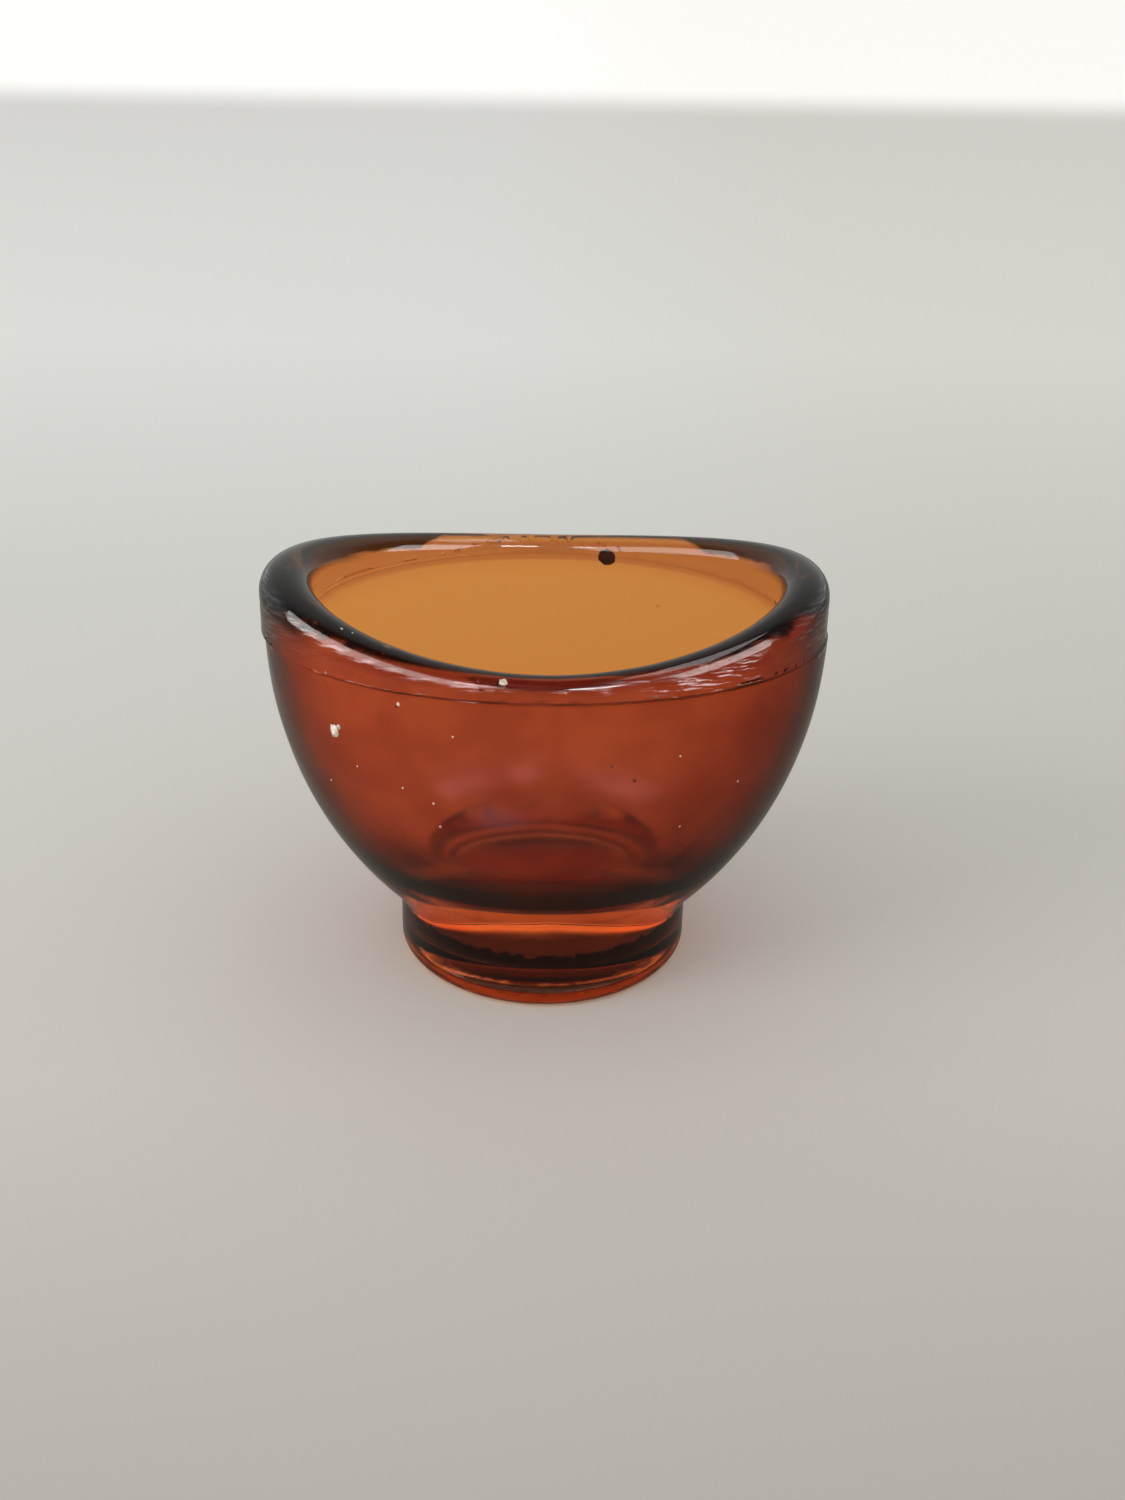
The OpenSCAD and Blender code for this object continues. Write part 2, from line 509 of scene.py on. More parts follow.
    def tipped(self, sheet: NodeSheet, axes: Outputs, streak: Socket) -> Socket:
        """Dent the rim's gloss along its streaks and tip them up at the right front.

        Args:
            sheet: The nodes to add to.
            axes: The place on the glass.
            streak: The streaks that run around the glass.

        Returns:
            The normal's socket.
        """
        tip = sheet.ramp(streak, *self.tip_streaks, 0.0, self.tip_most)
        tip = sheet.sum("MULTIPLY", tip, sheet.ramp(axes["X"], *self.tip_along, self.tip_least, 1.0))
        tip = sheet.sum("MULTIPLY", tip, sheet.ramp(axes["Y"], *self.tip_across, 1.0, 0.0))
        lift = sheet.add("ShaderNodeCombineXYZ")
        sheet.join(tip, lift.inputs["Z"])
        both = sheet.add("ShaderNodeVectorMath", operation="ADD")
        sheet.join(sheet.bump(streak, self.dent_height), both.inputs[0])
        sheet.join(lift.outputs["Vector"], both.inputs[1])
        unit = sheet.add("ShaderNodeVectorMath", operation="NORMALIZE")
        sheet.join(both.outputs["Vector"], unit.inputs[0])
        return unit.outputs["Vector"]


@dataclass(frozen=True)
class BatchStone:
    """Specks of batch that did not melt, matt and chalky."""

    name: str
    pale: tuple = (0.86, 0.78, 0.66, 1.0)
    dull: tuple = (0.55, 0.4, 0.28, 1.0)
    wave_scale: float = 2500.0
    grain_scale: float = 9000.0
    roughness: tuple = (0.55, 0.95)

    def material(self, uneven: bpy.types.NodeTree) -> bpy.types.Material:
        """Build the material.

        Args:
            uneven: The shared group of waves and grain.

        Returns:
            The finished material.
        """
        made, sheet, body = start_material(self.name)
        skin = sheet.uneven(uneven, self.wave_scale, self.grain_scale)
        tint = sheet.mix(sheet.ramp(skin["Wave"], 0.4, 0.7, 0.0, 1.0), self.pale, self.dull)
        sheet.join(tint, body.inputs["Base Color"])
        sheet.join(sheet.ramp(skin["Grain"], 0.3, 0.7, *self.roughness), body.inputs["Roughness"])
        return made


@dataclass(frozen=True)
class TableTop:
    """The pale table: grey-white, with painted shade to the front, the right and in reflections, fading into light at
    its far edge.
    """

    # Painted shade, darker towards the front and lighter towards the back.
    shades: tuple = (
        (-0.1, (0.377, 0.361, 0.318, 1.0)),
        (-0.03, (0.52, 0.5, 0.455, 1.0)),
        (0.1, (0.54, 0.54, 0.512, 1.0)),
        (0.25, (0.642, 0.646, 0.617, 1.0)),
        (0.6, (0.622, 0.617, 0.59, 1.0)),
    )
    # Painted shade towards the table's right side.
    right_dim_reach: tuple = (-0.03, 0.09)
    table_right_painted_shade: tuple = (0.955, 0.945, 0.92, 1.0)
    # Painted shade that darkens the table only where it is seen in reflections, more on the right.
    reflected_painted_shade: tuple = (0.5, 0.5, 0.48, 1.0)
    reflected_right_painted_shade: tuple = (0.42, 0.42, 0.4, 1.0)
    edge_reach: tuple = (0.58, 0.66)
    edge: tuple = (0.36, 0.36, 0.355, 1.0)
    wave_scale: float = 9.0
    grain_scale: float = 700.0
    roughness: tuple = (0.26, 0.34)
    gloss: float = 0.0

    def material(self, uneven: bpy.types.NodeTree) -> bpy.types.Material:
        """Build the material.

        Args:
            uneven: The shared group of waves and grain.

        Returns:
            The finished material.
        """
        made, sheet, body = start_material("table_top")
        skin, axes = sheet.uneven(uneven, self.wave_scale, self.grain_scale), sheet.axes()
        # Painted shade on the right side of the table.
        on_right = sheet.ramp(axes["X"], *self.right_dim_reach, 0.0, 1.0)
        # Painted shade by distance: darker towards the front, lighter towards the back, and darker on the right.
        tint = sheet.mix(on_right, sheet.shades(axes["Y"], self.shades), self.table_right_painted_shade, "MULTIPLY")
        # Painted shade on the table's reflections.
        reflected_painted_shade = sheet.mix(on_right, self.reflected_painted_shade, self.reflected_right_painted_shade)
        path = sheet.add("ShaderNodeLightPath").outputs
        tint = sheet.mix(sheet.mirrored(path), tint, reflected_painted_shade, "MULTIPLY")
        glow = sheet.mix(sheet.ramp(axes["Y"], *self.edge_reach, 0.0, 1.0), BLACK, self.edge)
        sheet.join(tint, body.inputs["Base Color"])
        sheet.join(sheet.ramp(skin["Wave"], 0.3, 0.7, *self.roughness), body.inputs["Roughness"])
        sheet.join(glow, body.inputs["Emission Color"])
        body.inputs["Emission Strength"].default_value = 1.0
        body.inputs["Specular IOR Level"].default_value = self.gloss
        return made


@dataclass(frozen=True)
class Flaw:
    """One bubble or stone: its site, angle in degrees, level up the site, radius in mm, stretch and depth."""

    site: Site
    angle: float
    level: float
    radius: float
    stretch: float = 1.0
    depth: float = 0.5


@dataclass(frozen=True)
class CrestPaintedShade:
    """Where shade is painted on the rim's crest: a band at the back that widens outwards, one at the front, and most
    of the ends.

    Bands run over the crest from 0 outside to 1 inside. A reach is a start and a width on the way to the ends.
    """

    most: float = 0.985
    middle: float = 0.06
    steepness: float = 4.0
    back_band: tuple = (0.36, 0.42)
    back_fade: float = 0.03
    back_reach: tuple = (0.4, 0.18)
    widening: float = 0.34
    ragged: float = 0.03
    ragged_noise: tuple = (60, 27, 0.3)
    front_middle: float = 0.55
    front_fade: float = 0.1
    front_reach: tuple = (0.5, 0.2)
    end_band: tuple = (0.1, 0.84)
    end_fade: float = 0.08
    end_reach: tuple = (0.8, 0.1)

    def share(self, turn: np.ndarray, rings: int) -> np.ndarray:
        """Give how dark the painted shade on the crest is.

        Args:
            turn: Angles around the cup, in radians.
            rings: How many rings cross the rim.

        Returns:
            Shares from 0 to 1, as rings by angles.
        """
        over = np.linspace(0.0, 1.0, rings)[:, None]
        reach = np.abs(np.cos(turn) - self.middle)
        at_back = np.clip(np.sin(turn) * self.steepness, 0.0, 1.0)
        at_front = np.clip(np.sin(turn) * -self.steepness, 0.0, 1.0) * step_up(reach, *self.front_reach)
        at_ends = step_up(reach, *self.end_reach)
        first, last = self.back_band
        last = last + self.widening * step_up(reach, *self.back_reach)
        last = last + self.ragged * ring_noise(turn, *self.ragged_noise)
        back = step_up(np.minimum(over - first, last - over), 0.0, self.back_fade)
        front = np.clip(2.0 - np.abs(over - self.front_middle) / self.front_fade, 0.0, 1.0)
        first, last = self.end_band
        ends = step_up(np.minimum(over - first, last - over), 0.0, self.end_fade)
        return np.max([back * at_back, front * at_front, ends * at_ends], 0) * self.most


@dataclass
class GlassBody:
    """The glass of the eye bath, as one closed skin of rings from the underside up and down into the hollow.

    A noise field holds the waves, seed and fall of ring_noise.
    """

    half_length: float
    half_depth: float
    mould_line: float
    crest: float
    foot_radius: float
    foot_height: float
    dip_wall: float = 3.2 * MM
    end_wall: float = 5.3 * MM
    dip_rise: float = 2.6 * MM
    climb: float = 1.9
    ring_step: float = 0.1 * MM
    ring_slip: float = 0.25 * MM
    neck_height: float = 12.5 * MM
    neck_blend: float = 1.2 * MM
    floor: float = 1.6 * MM
    fullness: float = 2.4
    edge_radius: float = 1.25 * MM
    dish_radius: float = 13.5 * MM
    dish_depth: float = 1.8 * MM
    dish_fullness: float = 2.6
    uneven: float = 0.03 * MM
    uneven_seed: int = 21
    fin: float = 0.14 * MM
    fin_least: float = 0.35
    fin_steepness: float = 2.2
    fin_noise: tuple = (200, 5, 0.1)
    groove: tuple = (0.07 * MM, 0.08 * MM)
    line_slack: float = 0.07 * MM
    line_noise: tuple = (120, 9, 0.2)
    line_arch: float = 0.45 * MM
    line_heights: tuple = (-0.34 * MM, -0.24 * MM, -0.06 * MM, 0.02 * MM, 0.1 * MM, 0.24 * MM)
    rim_start: float = 0.25 * MM
    least_upright: float = 0.3 * MM
    # Painted shade over the dish under the foot.
    dish_painted_shade: float = 0.08
    # Painted shade in the mould line's groove: its depth, spread, noise, range and fading at the back.
    painted_shade: float = 0.87
    groove_shade_spread: float = 0.3
    groove_shade_noise: tuple = (48, 15, 0.4)
    groove_shade_range: tuple = (0.5, 0.98)
    back_groove_fade: float = 0.7
    # Painted shade on the rim's crest.
    crest_painted_shade: CrestPaintedShade = CrestPaintedShade()
    streak_press: float = 0.12
    steps: int = 480
    turn: np.ndarray = field(init=False)
    rings: list = field(init=False, default_factory=list)
    bands: dict = field(init=False, default_factory=dict)

    def __post_init__(self) -> None:
        """Lay out the steps around the cup."""
        self.turn = np.arange(self.steps) * TURN / self.steps

    @classmethod
    def from_frame(cls) -> "GlassBody":
        """Take the main sizes from the CAD nodes.

        Returns:
            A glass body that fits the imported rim, bowl and foot.
        """
        bowl_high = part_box("bowl")[1]
        return cls(
            half_length=bowl_high.x,
            half_depth=bowl_high.y,
            mould_line=bowl_high.z,
            crest=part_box("rim")[1].z,
            foot_radius=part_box("foot")[1].x,
            foot_height=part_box("foot")[1].z,
        )

    @property
    def hollow_depth(self) -> float:
        """Give the depth of the hollow below the mould line."""
        return self.mould_line - self.foot_height - self.floor

    def direction(self) -> np.ndarray:
        """Give the way out from the axis at each step, as steps by x and y."""
        way = np.stack([self.half_length * np.cos(self.turn), self.half_depth * np.sin(self.turn)], 1)
        return way / np.linalg.norm(way, axis=1)[:, None]

    def end_share(self) -> np.ndarray:
        """Give 0 at the rim's dips and 1 at its ends, for each step around the cup."""
        return np.abs(np.cos(self.turn)) ** self.climb

    def wall(self) -> np.ndarray:
        """Give the wall's thickness at the mould line, for each step."""
        return self.dip_wall + (self.end_wall - self.dip_wall) * self.end_share()

    def rise(self) -> np.ndarray:
        """Give the crest's rise above the mould line, for each step."""
        return self.dip_rise + (self.crest - self.mould_line - self.dip_rise) * self.end_share()

    def arch(self) -> np.ndarray:
        """Give how far the mould line arches up, for each step."""
        return self.line_arch * (1.0 - self.end_share())

    def oval(self, inset: Union[float, np.ndarray], slip: float = 0.0) -> np.ndarray:
        """Give the cup's oval at the mould line, moved in along its normals.

        Args:
            inset: How far all steps, or each step, are moved in.
            slip: How far the oval is moved towards -X.

        Returns:
            Points as steps by x and y.
        """
        out = np.stack([np.cos(self.turn) / self.half_length, np.sin(self.turn) / self.half_depth], 1)
        out /= np.linalg.norm(out, axis=1)[:, None]
        edge = np.stack([self.half_length * np.cos(self.turn), self.half_depth * np.sin(self.turn)], 1)
        return edge - out * np.reshape(inset, (-1, 1)) - np.array([slip, 0.0])

    def circle(self, radius: float) -> np.ndarray:
        """Give a round ring of points as steps by x and y."""
        return radius * self.direction()

    def bowl_ring(self, height: float) -> np.ndarray:
        """Give the bowl's outside at a height, as steps by x and y.

        Args:
            height: Height above the table.

        Returns:
            Points on an oval that shrinks downwards until it meets the round of the foot.
        """
        drop = self.mould_line - height
        halves = []
        for half, leave in ((self.half_length, self.foot_height), (self.half_depth, self.neck_height)):
            swell = (self.mould_line - leave) / math.sqrt(1.0 - (self.foot_radius / half) ** 2)
            halves.append(half * math.sqrt(1.0 - (drop / swell) ** 2))
        way = self.direction()
        oval = 1.0 / np.hypot(way[:, 0] / halves[0], way[:, 1] / halves[1])
        near = np.maximum(self.neck_blend - np.abs(oval - self.foot_radius), 0.0)
        start = min((height - self.foot_height) / self.neck_blend, 1.0)
        radius = np.maximum(oval, self.foot_radius) + start * near * near / (4.0 * self.neck_blend)
        return way * radius[:, None]

    def add(self, band: Band, rings: list, heights: list) -> None:
        """Add a band's rings and note where they start and end.

        Args:
            band: The band that the rings belong to.
            rings: Rings of points, as steps by x and y.
            heights: A height for each ring, or one for each of its steps.
        """
        start = len(self.rings)
        for ring, height in zip(rings, heights):
            self.rings.append(np.column_stack([ring, np.broadcast_to(height, self.turn.shape)]))
        self.bands[band] = (start, len(self.rings))

    def add_foot(self) -> None:
        """Add the dish, the foot's edge and its side."""
        share = np.sin(np.linspace(0.05, 1.0, 22) * math.pi / 2)
        arch = (1.0 - share ** self.dish_fullness) ** (1.0 / self.dish_fullness)
        self.add(Band.DISH, [self.circle(self.dish_radius * q) for q in share], [self.dish_depth * q for q in arch])
        flat, gap = self.foot_radius - self.edge_radius, 0.2 * MM
        bend = np.linspace(0.0, math.pi / 2, 12)
        stand = np.linspace(self.dish_radius + gap, flat - gap, 4)
        reach = [*stand, *(flat + self.edge_radius * np.sin(bend))]
        heights = [*(0.0 * stand), *(self.edge_radius * (1.0 - np.cos(bend)))]
        self.add(Band.FOOT_EDGE, [self.circle(r) for r in reach], heights)
        side = np.linspace(self.edge_radius, self.foot_height, 14)[1:-1]
        self.add(Band.FOOT_SIDE, [self.circle(self.foot_radius)] * len(side), side)

    def add_bowl(self) -> None:
        """Add the bowl's outside and the mould line, a groove under a ragged fin that stays inside the cup's box."""
        drop = self.mould_line - self.foot_height
        heights = [self.foot_height + drop * q ** 1.35 for q in np.linspace(0.0, 0.993, 90)]
        self.add(Band.BOWL, [self.bowl_ring(z) for z in heights], heights)
        ragged = np.clip(ring_noise(self.turn, *self.fin_noise) * self.fin_steepness, 0.0, 1.0)
        fin = self.fin * (self.fin_least + (1.0 - self.fin_least) * ragged)
        fin *= np.abs(np.sin(2.0 * self.turn))
        middle = self.mould_line + self.line_slack * ring_noise(self.turn, *self.line_noise) + self.arch()
        rings = [self.oval(inset) for inset in (0.0, *self.groove)]
        rings += [self.oval(-self.ring_step - share * fin, self.ring_slip) for share in (1.0, 0.5, 0.0)]
        self.add(Band.MOULD_LINE, rings, [middle + height for height in self.line_heights])

    def add_rim(self) -> None:
        """Add the rim: upright sides and a half-round top, thicker at the two ends."""
        wall, rise = self.wall(), self.rise()
        top = np.minimum(wall / 2.0, rise - self.least_upright)
        rings, heights = [], []
        upright = np.linspace(0.0, 1.0, 10)[:-1]
        for across, up, bulge in [
            *((0.0, q, 0.0) for q in upright),
            *(((1.0 - math.cos(q)) / 2.0, 1.0, math.sin(q)) for q in np.linspace(0.0, math.pi, 40)),
            *((1.0, q, 0.0) for q in upright[::-1]),
        ]:
            inset = wall * across - self.ring_step * (1.0 - across)
            rings.append(self.oval(inset, self.ring_slip * (1.0 - across)))
            foot = self.rim_start + self.arch() * (across < 0.5)
            heights.append(self.mould_line + foot * (1.0 - up) + (rise - top) * up + top * bulge)
        self.add(Band.RIM, rings, heights)

    def add_hollow(self) -> None:
        """Add the hollow, down to just short of its lowest point."""
        mouth = self.oval(self.wall())
        dive = [math.sin(math.pi / 2 * q) ** 0.8 for q in np.linspace(0.01, 0.985, 70)]
        rings = [mouth * self.hollow_scale(q) for q in dive]
        self.add(Band.HOLLOW, rings, [self.mould_line - self.hollow_depth * q for q in dive])

    def hollow_scale(self, down: float) -> float:
        """Give how much of the mouth is left at a share of the hollow's depth."""
        return (1.0 - down ** self.fullness) ** (1.0 / self.fullness)

    @staticmethod
    def run_up(grid: np.ndarray) -> np.ndarray:
        """Give the length along the section at each point, as rings by steps."""
        return np.cumsum(np.linalg.norm(np.diff(grid, axis=0, prepend=grid[:1]), axis=2), axis=0)

    def skin(self) -> np.ndarray:
        """Lay out all rings, with the dish's edge rounded and the surface slightly uneven.

        Returns:
            Points as rings by steps by x, y and z.
        """
        self.add_foot()
        self.add_bowl()
        self.add_rim()
        self.add_hollow()
        grid = np.array(self.rings)
        edge = self.bands[Band.DISH][1]
        for _ in range(2):
            around = grid[edge - 3:edge + 1] + grid[edge - 1:edge + 3]
            grid[edge - 2:edge + 2] = 0.5 * grid[edge - 2:edge + 2] + 0.25 * around
        hold = np.ones(len(grid))
        hold[:self.bands[Band.FOOT_EDGE][1]] = 0.0
        hold[-12:] = np.linspace(1.0, 0.0, 12)
        radius = np.linalg.norm(grid[..., :2], axis=2)
        dips = np.abs(self.uneven * skin_noise(self.turn, self.run_up(grid), self.uneven_seed))
        shrink = 1.0 - dips * hold[:, None] / radius
        grid[..., :2] *= shrink[..., None]
        return grid

    def flaw_place(self, flaw: Flaw) -> Vector:
        """Find the middle of a bubble or stone.

        Args:
            flaw: The bubble or stone to place.

        Returns:
            A point in the glass.
        """
        step = int(round(math.radians(flaw.angle) / TURN * self.steps)) % self.steps
        inner = self.oval(self.wall())[step]
        if flaw.site is Site.RIM:
            z = self.mould_line + self.rise()[step] * flaw.level
            outer = self.oval(0.0)[step]
        else:
            z = self.foot_height + (self.mould_line - self.foot_height) * flaw.level
            outer = self.bowl_ring(z)[step]
            inner = inner * self.hollow_scale(min((self.mould_line - z) / self.hollow_depth, 0.999))
        spot = outer + (inner - outer) * flaw.depth
        return Vector((spot[0], spot[1], z))

    def build(self, bubbles: list, material: bpy.types.Material) -> bpy.types.Object:
        """Build the glass with its bubbles as voids in it.

        Args:
            bubbles: The bubbles to leave in the glass.
            material: The glass finish.

        Returns:
            The glass object.
        """
        grid = self.skin()
        count, n = grid.shape[:2]
        last = 1 + (count - 1) * n
        points = [(0.0, 0.0, self.dish_depth)]
        points += [tuple(q) for q in grid.reshape(-1, 3).tolist()]
        points.append((0.0, 0.0, self.foot_height + self.floor))
        faces = []
        for j in range(n):
            k = (j + 1) % n
            faces.append((0, 1 + k, 1 + j))
            faces.extend((i + j, i + k, i + n + k, i + n + j) for i in range(1, last, n))
            faces.append((last + j, last + k, last + n))
        for bubble in bubbles:
            self.add_void(points, faces, bubble)
        glass = link_mesh("amber_glass_body", points, faces, material)
        for name, rings in (
            (HOLLOW_MASK, self.hollow_share(count)[:, None]),
            (RIM_MASK, self.rim_share(count)[:, None]),
            (RING_MASK, self.ring_share(count)[:, None]),
            # The painted shade mask covers the dish, the mould line's groove and the crest.
            (PAINTED_SHADE_MASK, self.painted_shade_share(count)),
        ):
            mask = np.full(len(points), float(name == HOLLOW_MASK))
            mask[0] = 0.0
            mask[1:last + n] = np.broadcast_to(rings, (count, n)).ravel()
            glass.data.attributes.new(name, "FLOAT", "POINT").data.foreach_set("value", mask)
        run = np.zeros((len(points), 3))
        run[1:last + n] = self.run_map(grid).reshape(-1, 3)
        glass.data.attributes.new(RUN_MAP, "FLOAT_VECTOR", "POINT").data.foreach_set("vector", run.ravel())
        return glass

    def run_map(self, grid: np.ndarray) -> np.ndarray:
        """Give each point a place on the unrolled skin, pressed together along the rings so that noise on it streaks.

        Args:
            grid: Points as rings by steps by x, y and z.

        Returns:
            Places as rings by steps by three.
        """
        up = self.run_up(grid)
        around = np.broadcast_to(self.turn * self.half_depth * self.streak_press, up.shape)
        return np.stack([around, up, np.zeros_like(up)], 2)

    def hollow_share(self, count: int) -> np.ndarray:
        """Give 0 for the rings of the outside and 1 for those of the hollow, with a soft step over the crest."""
        start, end = self.bands[Band.RIM]
        return np.clip((np.arange(count) - 0.5 * (start + end)) / 10.0 + 0.5, 0.0, 1.0)

    def rim_share(self, count: int) -> np.ndarray:
        """Give 1 for the rings on the outside of the rim and 0 for all others, with soft steps at both ends."""
        ring = np.arange(count) - self.bands[Band.RIM][0]
        return np.clip(np.minimum(ring, 22 - ring) / 4.0, 0.0, 1.0)

    def ring_share(self, count: int) -> np.ndarray:
        """Give 1 for the rings on the inside of the rim and 0 for all others, with soft steps at both ends."""
        (start, end), ring = self.bands[Band.RIM], np.arange(count)
        return np.clip(np.minimum(ring - start - 0.6 * (end - start), end - ring) / 3.0, 0.0, 1.0)

    def painted_shade_share(self, count: int) -> np.ndarray:
        """Give where shade is painted on the skin: the mould line's groove, the dish, and the crest at the back and
        the ends.

        Args:
            count: How many rings the skin has.

        Returns:
            Shares from 0 to 1, as rings by steps.
        """
        share = np.zeros((count, self.steps))
        # Painted shade over the dish.
        share[:self.bands[Band.DISH][1]] = self.dish_painted_shade
        start = self.bands[Band.MOULD_LINE][0]
        # Painted shade in the mould line's groove, uneven around the cup and fainter at the back.
        groove_dark = np.clip(self.painted_shade + self.groove_shade_spread * ring_noise(self.turn, *self.groove_shade_noise), *self.groove_shade_range)
        at_back = np.clip(np.sin(self.turn) * 3.0, 0.0, 1.0)
        share[start + 1:start + 4] = groove_dark * (1.0 - self.back_groove_fade * at_back)
        low, high = self.bands[Band.RIM]
        # Painted shade on the crest.
        share[low:high] = self.crest_painted_shade.share(self.turn, high - low)
        return share

    def add_void(self, points: list, faces: list, bubble: Flaw) -> None:
        """Add a bubble's skin, facing into the bubble.

        Args:
            points: The glass's points, which grow.
            faces: The glass's faces, which grow.
            bubble: The bubble to add.
        """
        ball = bmesh.new()
        bmesh.ops.create_icosphere(ball, subdivisions=3, radius=bubble.radius * MM)
        turn = math.radians(bubble.angle)
        along = Vector((-math.sin(turn), math.cos(turn), 0.0))
        middle = self.flaw_place(bubble)
        start = len(points)
        for vertex in ball.verts:
            co = vertex.co + along * (along.dot(vertex.co) * (bubble.stretch - 1.0))
            points.append(tuple(co + middle))
        for face in ball.faces:
            faces.append(tuple(start + v.index for v in reversed(face.verts)))
        ball.free()


@dataclass
class EyeBath:
    """The whole eye bath: its glass and the stones in its skin."""

    body: GlassBody
    seed: int = 41
    small_bubbles: int = 26
    shown: tuple = (
        Flaw(Site.RIM, 261.0, 0.62, 0.34, 1.1, 0.35),
        Flaw(Site.RIM, 216.0, 0.8, 0.3, 1.2, 0.3),
        Flaw(Site.WALL, 240.0, 0.95, 0.16, 1.0, 0.2),
        Flaw(Site.WALL, 288.0, 0.72, 0.2, 1.0, 0.3),
    )
    flecks: tuple = (
        Flaw(Site.WALL, 223.6, 0.812, 0.65, 1.3, 0.0),
        Flaw(Site.WALL, 225.2, 0.83, 0.3, 1.0, 0.0),
        Flaw(Site.WALL, 241.0, 0.965, 0.2, 1.2, 0.0),
        Flaw(Site.RIM, 261.8, 0.86, 0.42, 1.1, 0.12),
        Flaw(Site.RIM, 224.0, 0.97, 0.26, 0.8, 0.4),
        Flaw(Site.RIM, 227.0, 0.97, 0.2, 0.8, 0.45),
        Flaw(Site.WALL, 247.0, 0.62, 0.12, 1.0, 0.0),
        Flaw(Site.WALL, 229.0, 0.7, 0.1, 1.0, 0.0),
        Flaw(Site.WALL, 297.0, 0.8, 0.1, 1.0, 0.0),
        Flaw(Site.WALL, 252.0, 0.88, 0.11, 1.0, 0.0),
        Flaw(Site.WALL, 240.0, 0.66, 0.1, 1.0, 0.0),
        Flaw(Site.WALL, 247.4, 0.53, 0.13, 1.0, 0.0),
        Flaw(Site.WALL, 218.6, 0.6, 0.12, 1.0, 0.0),
        Flaw(Site.WALL, 300.0, 0.52, 0.11, 1.0, 0.0),
        Flaw(Site.WALL, 313.6, 0.65, 0.1, 1.0, 0.0),
    )
    fleck_break: float = 0.4
    cinders: tuple = (
        Flaw(Site.RIM, 75.5, 0.25, 1.05, 0.9, 0.8),
        Flaw(Site.WALL, 282.7, 0.79, 0.16, 1.0, 0.0),
    )
    cinder_break: float = 0.08
    burnt: tuple = (0.05, 0.018, 0.009, 1.0)
    charred: tuple = (0.016, 0.008, 0.006, 1.0)
    flatness: float = 0.7

    def bubbles(self) -> list:
        """Give the bubbles that show, and small ones scattered through the glass.

        Returns:
            All bubbles, in a fixed order.
        """
        draw = np.random.default_rng(self.seed)
        scattered = [
            Flaw(
                site=draw.choice([Site.RIM, Site.WALL, Site.WALL]),
                angle=draw.uniform(0.0, 360.0),
                level=draw.uniform(0.35, 0.9),
                radius=draw.uniform(0.06, 0.17),
                stretch=draw.uniform(1.0, 1.5),
                depth=draw.uniform(0.2, 0.75),
            )
            for _ in range(self.small_bubbles)
        ]
        return [*self.shown, *scattered]

    def build(self, uneven: bpy.types.NodeTree) -> list:
        """Build and dress every piece.

        Args:
            uneven: The shared group of waves and grain.

        Returns:
            The pieces of the eye bath.
        """
        glass = self.body.build(self.bubbles(), AmberGlass().material(uneven))
        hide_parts("rim", "bowl", "foot")
        chalk = BatchStone("batch_stone").material(uneven)
        stones = self.stones("batch_stones", self.flecks, self.fleck_break, chalk)
        soot = BatchStone("cinder", self.burnt, self.charred).material(uneven)
        cinder = self.stones("dark_stone", self.cinders, self.cinder_break, soot)
        pieces = [glass, stones, cinder]
        for piece in pieces:
            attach(piece, "root")
        return pieces

    def stones(self, name: str, places: tuple, broken: float, material: bpy.types.Material) -> bpy.types.Object:
        """Build the stones that lie in the skin as small lumps.

        Args:
            name: Name of the piece.
            places: Where the stones lie and how large they are.
            broken: How far the lumps depart from smooth ones.
            material: The stones' finish.

        Returns:
            The stones, as one object.
        """
        draw = np.random.default_rng(self.seed + 1)
        points, faces = [], []
        for stone in places:
            lump = bmesh.new()
            bmesh.ops.create_icosphere(lump, subdivisions=3, radius=stone.radius * MM)
            turn = math.radians(stone.angle)
            out = Vector((math.cos(turn), math.sin(turn), 0.0))
            middle = self.body.flaw_place(stone)
            start = len(points)
            for vertex in lump.verts:
                co = vertex.co * (1.0 + broken * draw.uniform(-1.0, 0.4))
                co -= out * (self.flatness * out.dot(co))
                co.z *= stone.stretch
                points.append(tuple(co + middle))
            faces.extend(tuple(start + v.index for v in face.verts) for face in lump.faces)
            lump.free()
        return link_mesh(name, points, faces, material)


@dataclass(frozen=True)
class Lamp:
    """A soft rectangular lamp: the way to it, its distance and size in metres, its power in watts and its colour.

    A lamp that gleams shows only as highlights. One that doesn't lights only matt surfaces.
    """

    name: str
    direction: tuple
    distance: float
    size: tuple
    power: float
    colour: tuple = DAYLIGHT
    gleams: bool = True
    aim: tuple = (0.0, 0.0, 30.0 * MM)

    def build(self) -> None:
        """Hang the lamp so that it looks at the eye bath."""
        data = bpy.data.lights.new(self.name, "AREA")
        data.shape = "RECTANGLE"
        data.size, data.size_y = self.size
        data.energy = self.power
        data.color = self.colour
        lamp = bpy.data.objects.new(self.name, data)
        way = Vector(self.direction).normalized()
        lamp.location = way * self.distance + Vector(self.aim)
        lamp.rotation_euler = way.to_track_quat("Z", "Y").to_euler()
        lamp.visible_diffuse, lamp.visible_glossy, lamp.visible_transmission = not self.gleams, self.gleams, False
        bpy.context.scene.collection.objects.link(lamp)


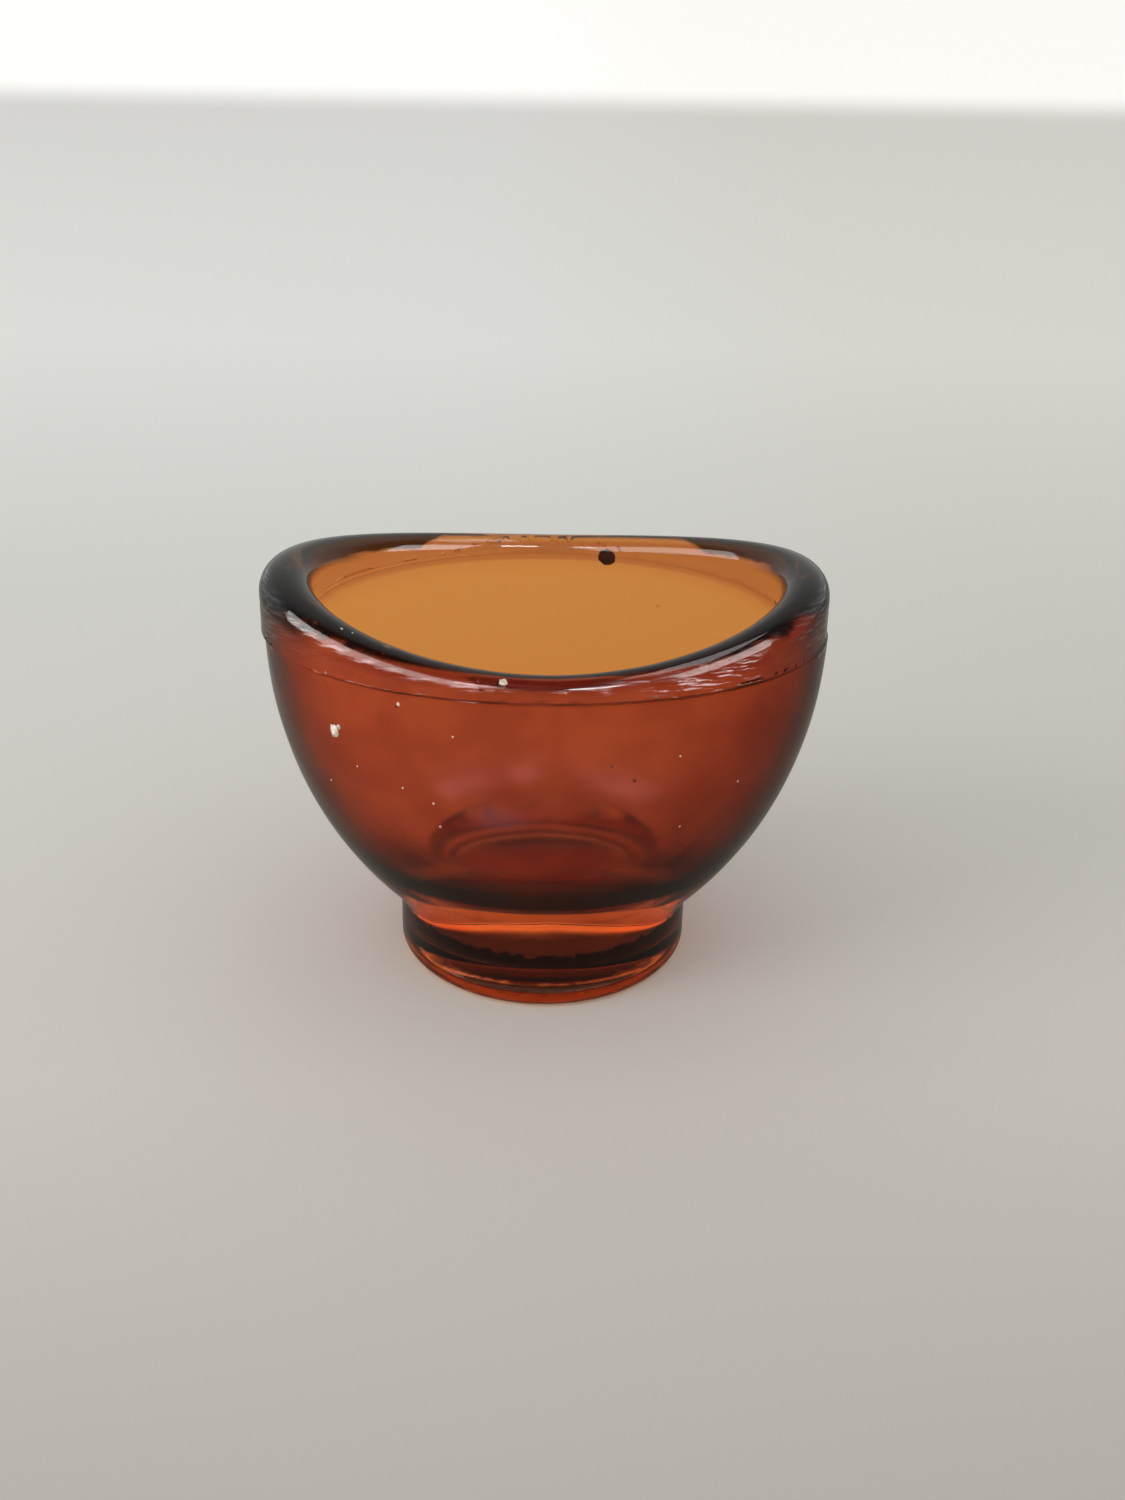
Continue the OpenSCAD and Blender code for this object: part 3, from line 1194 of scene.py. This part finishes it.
@dataclass
class Studio:
    """The table, lamps, sky and camera."""

    focal_px: float = 1900.0
    pitch: float = 27.305
    roll: float = 1.109
    yaw: float = 0.928
    place: tuple = (1.938 * MM, -186.603 * MM, 119.642 * MM)
    clip: tuple = (0.005, 50.0)
    table_reach: float = 6.0
    fill: float = 1.02
    dark_sky: tuple = (0.06, 0.06, 0.06, 1.0)
    pale_sky: tuple = (0.95, 0.95, 0.94, 1.0)
    pale_behind: tuple = (-0.1, 0.8)
    pale_below: tuple = (0.36, 0.54)
    veil: tuple = (0.6, 0.6, 0.585, 1.0)
    veil_behind: tuple = (0.1, 0.5)
    lamps: tuple = (
        Lamp("key", (-0.8, -0.36, 0.5), 0.8, (0.4, 0.34), 1.7, (1.0, 0.99, 0.98), False),
        Lamp("window_left", (-0.742, -0.464, 0.5), 0.8, (1.25, 0.5), 14.0),
        Lamp("window_right", (0.72, -0.48, 0.5), 0.9, (0.6, 0.5), 9.5),
        Lamp("window_front", (0.18, -0.74, 0.62), 1.0, (0.2, 0.14), 3.4),
        Lamp("window_front_left", (-0.24, -0.74, 0.6), 1.0, (0.14, 0.12), 1.0),
        Lamp("ceiling", (0.32, 0.0, 1.0), 1.2, (0.55, 0.4), 3.2, (1.0, 1.0, 0.98)),
    )

    def camera(self) -> None:
        """Place the camera at the photograph's viewing angle."""
        data = bpy.data.cameras.new("camera")
        data.sensor_width = SENSOR_MM
        data.lens = self.focal_px * SENSOR_MM / IMAGE_LONG_SIDE
        data.clip_start, data.clip_end = self.clip
        camera = bpy.data.objects.new("camera", data)
        swing = Matrix.Rotation(math.radians(-self.yaw), 4, "Z")
        tilt = Matrix.Rotation(math.radians(90.0 - self.pitch), 4, "X")
        roll = Matrix.Rotation(math.radians(self.roll), 4, "Z")
        camera.matrix_world = swing @ Matrix.Translation(self.place) @ tilt @ roll
        bpy.context.scene.collection.objects.link(camera)
        bpy.context.scene.camera = camera

    def sky(self) -> None:
        """Make the surround: an even fill for matt surfaces, and for glass a sky that is pale only low down behind."""
        world = bpy.data.worlds.new("surround")
        bpy.context.scene.world = world
        world.use_nodes = True
        sheet = NodeSheet(world.node_tree)
        sheet.tree.nodes.clear()
        axes, path = sheet.axes("Generated"), sheet.add("ShaderNodeLightPath").outputs
        behind = sheet.ramp(axes["Y"], *self.pale_behind, 0.0, 1.0)
        below = sheet.ramp(axes["Z"], *self.pale_below, 1.0, 0.0)
        shade = sheet.mix(sheet.sum("MULTIPLY", behind, below), self.dark_sky, self.pale_sky)
        far = sheet.ramp(axes["Y"], *self.veil_behind, 0.0, 1.0)
        shade = sheet.mix(sheet.sum("MULTIPLY", sheet.mirrored(path), far), shade, self.veil)
        seen = sheet.add("ShaderNodeBackground", Strength=1.0)
        sheet.join(shade, seen.inputs["Color"])
        even = sheet.add("ShaderNodeBackground", Strength=self.fill, Color=WHITE)
        by_glass = sheet.sum("MAXIMUM", path["Is Glossy Ray"], path["Is Transmission Ray"])
        straight = sheet.sum("LESS_THAN", path["Diffuse Depth"], 0.5)
        pick = sheet.add("ShaderNodeMixShader")
        sheet.join(sheet.sum("MULTIPLY", by_glass, straight), pick.inputs["Fac"])
        sheet.join(even.outputs["Background"], pick.inputs[1])
        sheet.join(seen.outputs["Background"], pick.inputs[2])
        out = sheet.add("ShaderNodeOutputWorld")
        sheet.join(pick.outputs["Shader"], out.inputs["Surface"])

    def table(self, uneven: bpy.types.NodeTree) -> None:
        """Lay the pale table under the eye bath.

        Args:
            uneven: The shared group of waves and grain.
        """
        reach = self.table_reach
        corners = [(-reach, -reach, 0.0), (reach, -reach, 0.0), (reach, reach, 0.0), (-reach, reach, 0.0)]
        table = link_mesh("table", corners, [(0, 1, 2, 3)], TableTop().material(uneven))

    def build(self, uneven: bpy.types.NodeTree) -> None:
        """Set up the table, the lamps, the surround and the camera.

        Args:
            uneven: The shared group of waves and grain.
        """
        self.camera()
        self.table(uneven)
        self.sky()
        for lamp in self.lamps:
            lamp.build()


def main() -> None:
    """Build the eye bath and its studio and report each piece."""
    logging.basicConfig(level=logging.INFO, format="%(name)s: %(message)s")
    bpy.context.scene.view_settings.view_transform = "Standard"
    uneven = uneven_group()
    Studio().build(uneven)
    bath = EyeBath(GlassBody.from_frame())
    for piece in bath.build(uneven):
        LOG.info("%s: %d faces", piece.name, len(piece.data.polygons))


if __name__ == "__main__":
    main()
